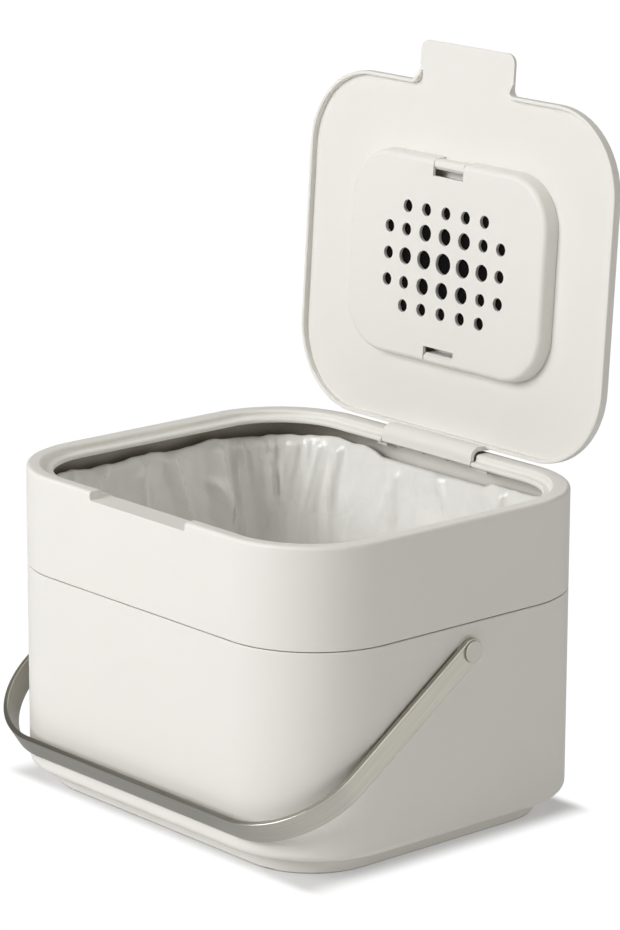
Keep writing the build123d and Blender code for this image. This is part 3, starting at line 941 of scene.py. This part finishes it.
class WASTEBIN_OT_finish_lid(bpy.types.Operator):
    """Give the lid, its filter cover and its vent shutter the body's plastic, without the painted
    gap shade
    """

    bl_idname = "wastebin.finish_lid"
    bl_label = "Finish the lid"

    def execute(self, context):
        settings = context.scene.wastebin_plastic
        plastic = moulded_plastic("warm_white_lid_polypropylene", settings, 0)
        dress(["lid", "filter_cover", "vent_shutter"], plastic)
        return {"FINISHED"}


class WASTEBIN_OT_finish_filter(bpy.types.Operator):
    """Give the carbon filter its foam"""

    bl_idname = "wastebin.finish_filter"
    bl_label = "Finish the filter"

    def execute(self, context):
        dress(["carbon_filter"], carbon_foam(context.scene.wastebin_foam))
        return {"FINISHED"}


class WASTEBIN_OT_finish_bail(bpy.types.Operator):
    """Give the bail, its rivets, washers and spacers, and the hinge pin their finishes"""

    bl_idname = "wastebin.finish_bail"
    bl_label = "Finish the bail"

    def execute(self, context):
        steel = context.scene.wastebin_steel
        dress(["bail_handle"], brushed_steel(steel))
        turned = ["rivet_left", "rivet_right", "washer_left", "washer_right", "hinge_pin"]
        dress(turned, turned_steel(steel))
        dress(["spacer_left", "spacer_right"], nylon(steel))
        return {"FINISHED"}


class WASTEBIN_OT_hang_film(bpy.types.Operator):
    """Hang the film bag in the bucket, folded over its neck"""

    bl_idname = "wastebin.hang_film"
    bl_label = "Hang the liner film"

    def execute(self, context):
        hang_film(context.scene.wastebin_film)
        return {"FINISHED"}


class WASTEBIN_OT_set_studio(bpy.types.Operator):
    """Set the pale floor, the soft lights and the camera"""

    bl_idname = "wastebin.set_studio"
    bl_label = "Set the studio"

    def execute(self, context):
        settings = context.scene.wastebin_studio
        lay_floor(settings)
        light_world(settings)
        hang_lamps(settings)
        set_camera(settings)
        context.scene.view_settings.view_transform = "Standard"
        return {"FINISHED"}


def lay_floor(settings):
    """Lay a wide pale floor: plain paper that keeps the object's shadow near its foot and turns
    to even white at the shadow's reach where the camera sees it. In reflections it is a painted
    glow instead, darker on the left: a painted reflection with painted shade."""
    sheet = bmesh.new()
    bmesh.ops.create_grid(sheet, x_segments=1, y_segments=1, size=FLOOR_HALF)
    mesh = bpy.data.meshes.new("studio_floor")
    sheet.to_mesh(mesh)
    sheet.free()
    floor = bpy.data.objects.new("studio_floor", mesh)
    bpy.context.scene.collection.objects.link(floor)
    material = bpy.data.materials.new("white_paper_floor")
    material.use_nodes = True
    tree = material.node_tree
    tree.nodes.clear()
    place = add_node(tree, "ShaderNodeTexCoord").outputs["Object"]
    beside = add_node(
        tree, "ShaderNodeVectorMath", {"operation": "ABSOLUTE"}, None, {0: place}
    ).outputs["Vector"]
    foot = (FOOT_HALF.x * MM, FOOT_HALF.y * MM, 0)
    beside = add_node(
        tree, "ShaderNodeVectorMath", {"operation": "SUBTRACT"}, {1: foot}, {0: beside}
    ).outputs["Vector"]
    beside = add_node(
        tree, "ShaderNodeVectorMath", {"operation": "MAXIMUM"}, {1: (0, 0, 0)}, {0: beside}
    ).outputs["Vector"]
    beside = add_node(
        tree,
        "ShaderNodeVectorMath",
        {"operation": "MULTIPLY"},
        {1: (1, settings.shadow_front, 1)},
        {0: beside},
    ).outputs["Vector"]
    away = add_node(
        tree, "ShaderNodeVectorMath", {"operation": "LENGTH"}, None, {0: beside}
    ).outputs["Value"]
    clear = add_node(
        tree,
        "ShaderNodeMapRange",
        {"interpolation_type": "SMOOTHSTEP"},
        {"From Max": settings.shadow_reach * MM},
        {"Value": away},
    ).outputs["Result"]
    path = add_node(tree, "ShaderNodeLightPath").outputs
    bare = add_node(
        tree,
        "ShaderNodeMath",
        {"operation": "MULTIPLY"},
        None,
        {0: clear, 1: path["Is Camera Ray"]},
    ).outputs["Value"]
    side = add_node(tree, "ShaderNodeSeparateXYZ", None, None, {"Vector": place}).outputs["X"]
    # Painted reflection: in reflections the floor glows, darker on the left as painted shade
    painted_reflection_level = add_node(
        tree,
        "ShaderNodeMapRange",
        None,
        {
            "From Min": FLOOR_DARK_X,
            "From Max": FLOOR_LIGHT_X,
            "To Min": settings.floor_left,
            "To Max": FLOOR_RIGHT,
        },
        {"Value": side},
    ).outputs["Result"]
    shader = add_node(tree, "ShaderNodeBsdfDiffuse", None, {"Color": (*(PAPER_TONE,) * 3, 1)})
    shaded = add_node(
        tree, "ShaderNodeBsdfDiffuse", None, {"Color": (*(SHADED_PAPER_TONE,) * 3, 1)}
    )
    lift = add_node(tree, "ShaderNodeEmission", None, {"Strength": settings.shadow_lift})
    seen = add_node(
        tree, "ShaderNodeAddShader", None, None, {0: shaded.outputs[0], 1: lift.outputs[0]}
    )
    white = add_node(tree, "ShaderNodeEmission", None, {"Strength": WHITE})
    mirror = add_node(tree, "ShaderNodeEmission", None, None, {"Strength": painted_reflection_level})
    steps = (
        (path["Is Camera Ray"], seen),
        (bare, white),
        (path["Is Glossy Ray"], mirror),
    )
    for share, other in steps:
        shader = add_node(
            tree,
            "ShaderNodeMixShader",
            None,
            None,
            {0: share, 1: shader.outputs[0], 2: other.outputs[0]},
        )
    add_node(tree, "ShaderNodeOutputMaterial", None, None, {"Surface": shader.outputs[0]})
    mesh.materials.append(material)


def light_world(settings):
    """Surround the object with an even light: white where the camera sees it, dimmer in
    reflections and most so on the left, as a dark room would be, and dimmest as a light."""
    world = bpy.data.worlds.new("even_white_surround")
    bpy.context.scene.world = world
    world.use_nodes = True
    tree = world.node_tree
    tree.nodes.clear()
    path = add_node(tree, "ShaderNodeLightPath").outputs
    way = add_node(tree, "ShaderNodeTexCoord").outputs["Generated"]
    sideways = add_node(tree, "ShaderNodeSeparateXYZ", None, None, {"Vector": way}).outputs["X"]
    room = add_node(
        tree,
        "ShaderNodeMapRange",
        None,
        {
            "From Min": -ROOM_EDGE,
            "From Max": ROOM_EDGE,
            "To Min": settings.room_left,
            "To Max": settings.room_right,
        },
        {"Value": sideways},
    ).outputs["Result"]
    mirrored = add_node(
        tree,
        "ShaderNodeMix",
        {"data_type": "FLOAT"},
        {2: settings.world_level},
        {0: path["Is Glossy Ray"], 3: room},
    ).outputs[0]
    level = add_node(
        tree,
        "ShaderNodeMath",
        {"operation": "MAXIMUM"},
        None,
        {0: mirrored, 1: path["Is Camera Ray"]},
    ).outputs["Value"]
    tone = add_node(
        tree,
        "ShaderNodeMix",
        {"data_type": "RGBA"},
        {6: (*linear(settings.warm_colour), 1), 7: (1, 1, 1, 1)},
        {0: path["Is Camera Ray"]},
    ).outputs[2]
    back = add_node(
        tree, "ShaderNodeBackground", None, None, {"Color": tone, "Strength": level}
    )
    add_node(tree, "ShaderNodeOutputWorld", None, None, {"Surface": back.outputs[0]})


def hang_lamps(settings):
    """Hang the softboxes, each aimed at the middle of the object."""
    lamps = (
        ("key_softbox", settings.key_power, Vector((-0.5, -2.1, 1.25)), 1.3, "#FFFFFF"),
        ("top_softbox", settings.top_power, Vector((-0.2, 0.2, 2.1)), 1.5, "#FFFFFF"),
        ("fill_softbox", settings.fill_power, Vector((2.2, 0.3, 0.4)), 1.2, settings.warm_colour),
    )
    for name, power, place, size, colour in lamps:
        light = bpy.data.lights.new(name, "AREA")
        light.shape = "SQUARE"
        light.size = size
        light.energy = power
        light.color = linear(colour)
        lamp = bpy.data.objects.new(name, light)
        lamp.location = place
        lamp.rotation_euler = (LAMP_AIM - place).to_track_quat("-Z", "Y").to_euler()
        bpy.context.scene.collection.objects.link(lamp)


def set_camera(settings):
    """Set the camera at the photograph's angle, height and distance."""
    turn = math.radians(settings.azimuth)
    lift = math.radians(settings.elevation)
    target = Vector(settings.target)
    back = Vector(
        (math.sin(turn) * math.cos(lift), -math.cos(turn) * math.cos(lift), math.sin(lift))
    )
    lens = bpy.data.cameras.new("studio_camera")
    lens.sensor_fit = "HORIZONTAL"
    lens.sensor_width = 36
    lens.lens = settings.lens
    camera = bpy.data.objects.new("studio_camera", lens)
    camera.location = target + back * settings.distance
    aim = (-back).to_track_quat("-Z", "Y").to_matrix().to_4x4()
    camera.rotation_euler = aim.to_euler()
    camera.rotation_euler.rotate_axis("Z", math.radians(settings.roll))
    bpy.context.scene.collection.objects.link(camera)
    bpy.context.scene.camera = camera


OPERATORS = (
    WASTEBIN_OT_finish_body,
    WASTEBIN_OT_finish_lid,
    WASTEBIN_OT_finish_filter,
    WASTEBIN_OT_finish_bail,
    WASTEBIN_OT_hang_film,
    WASTEBIN_OT_set_studio,
)
SETTINGS = {
    "wastebin_plastic": PlasticSettings,
    "wastebin_steel": SteelSettings,
    "wastebin_foam": FoamSettings,
    "wastebin_film": FilmSettings,
    "wastebin_studio": StudioSettings,
}


class WASTEBIN_PT_sidebar(bpy.types.Panel):
    """Lists the steps and their settings"""

    bl_idname = "WASTEBIN_PT_sidebar"
    bl_label = "Waste bin"
    bl_space_type = "VIEW_3D"
    bl_region_type = "UI"
    bl_category = "Waste bin"

    def draw(self, context):
        for operator in OPERATORS:
            self.layout.operator(operator.bl_idname)
        for name, group in SETTINGS.items():
            box = self.layout.box()
            for prop in group.__annotations__:
                box.prop(getattr(context.scene, name), prop)


def register():
    """Register the settings, the operators and the panel."""
    for name, group in SETTINGS.items():
        bpy.utils.register_class(group)
        setattr(bpy.types.Scene, name, bpy.props.PointerProperty(type=group))
    for operator in OPERATORS:
        bpy.utils.register_class(operator)
    bpy.utils.register_class(WASTEBIN_PT_sidebar)


def unregister():
    """Take the panel, the operators and the settings away again."""
    bpy.utils.unregister_class(WASTEBIN_PT_sidebar)
    for operator in reversed(OPERATORS):
        bpy.utils.unregister_class(operator)
    for name, group in SETTINGS.items():
        delattr(bpy.types.Scene, name)
        bpy.utils.unregister_class(group)


def main():
    """Build the scene round the frame."""
    register()
    bpy.ops.wastebin.finish_body()
    bpy.ops.wastebin.finish_lid()
    bpy.ops.wastebin.finish_filter()
    bpy.ops.wastebin.finish_bail()
    bpy.ops.wastebin.hang_film()
    bpy.ops.wastebin.set_studio()


if __name__ == "__main__":
    main()
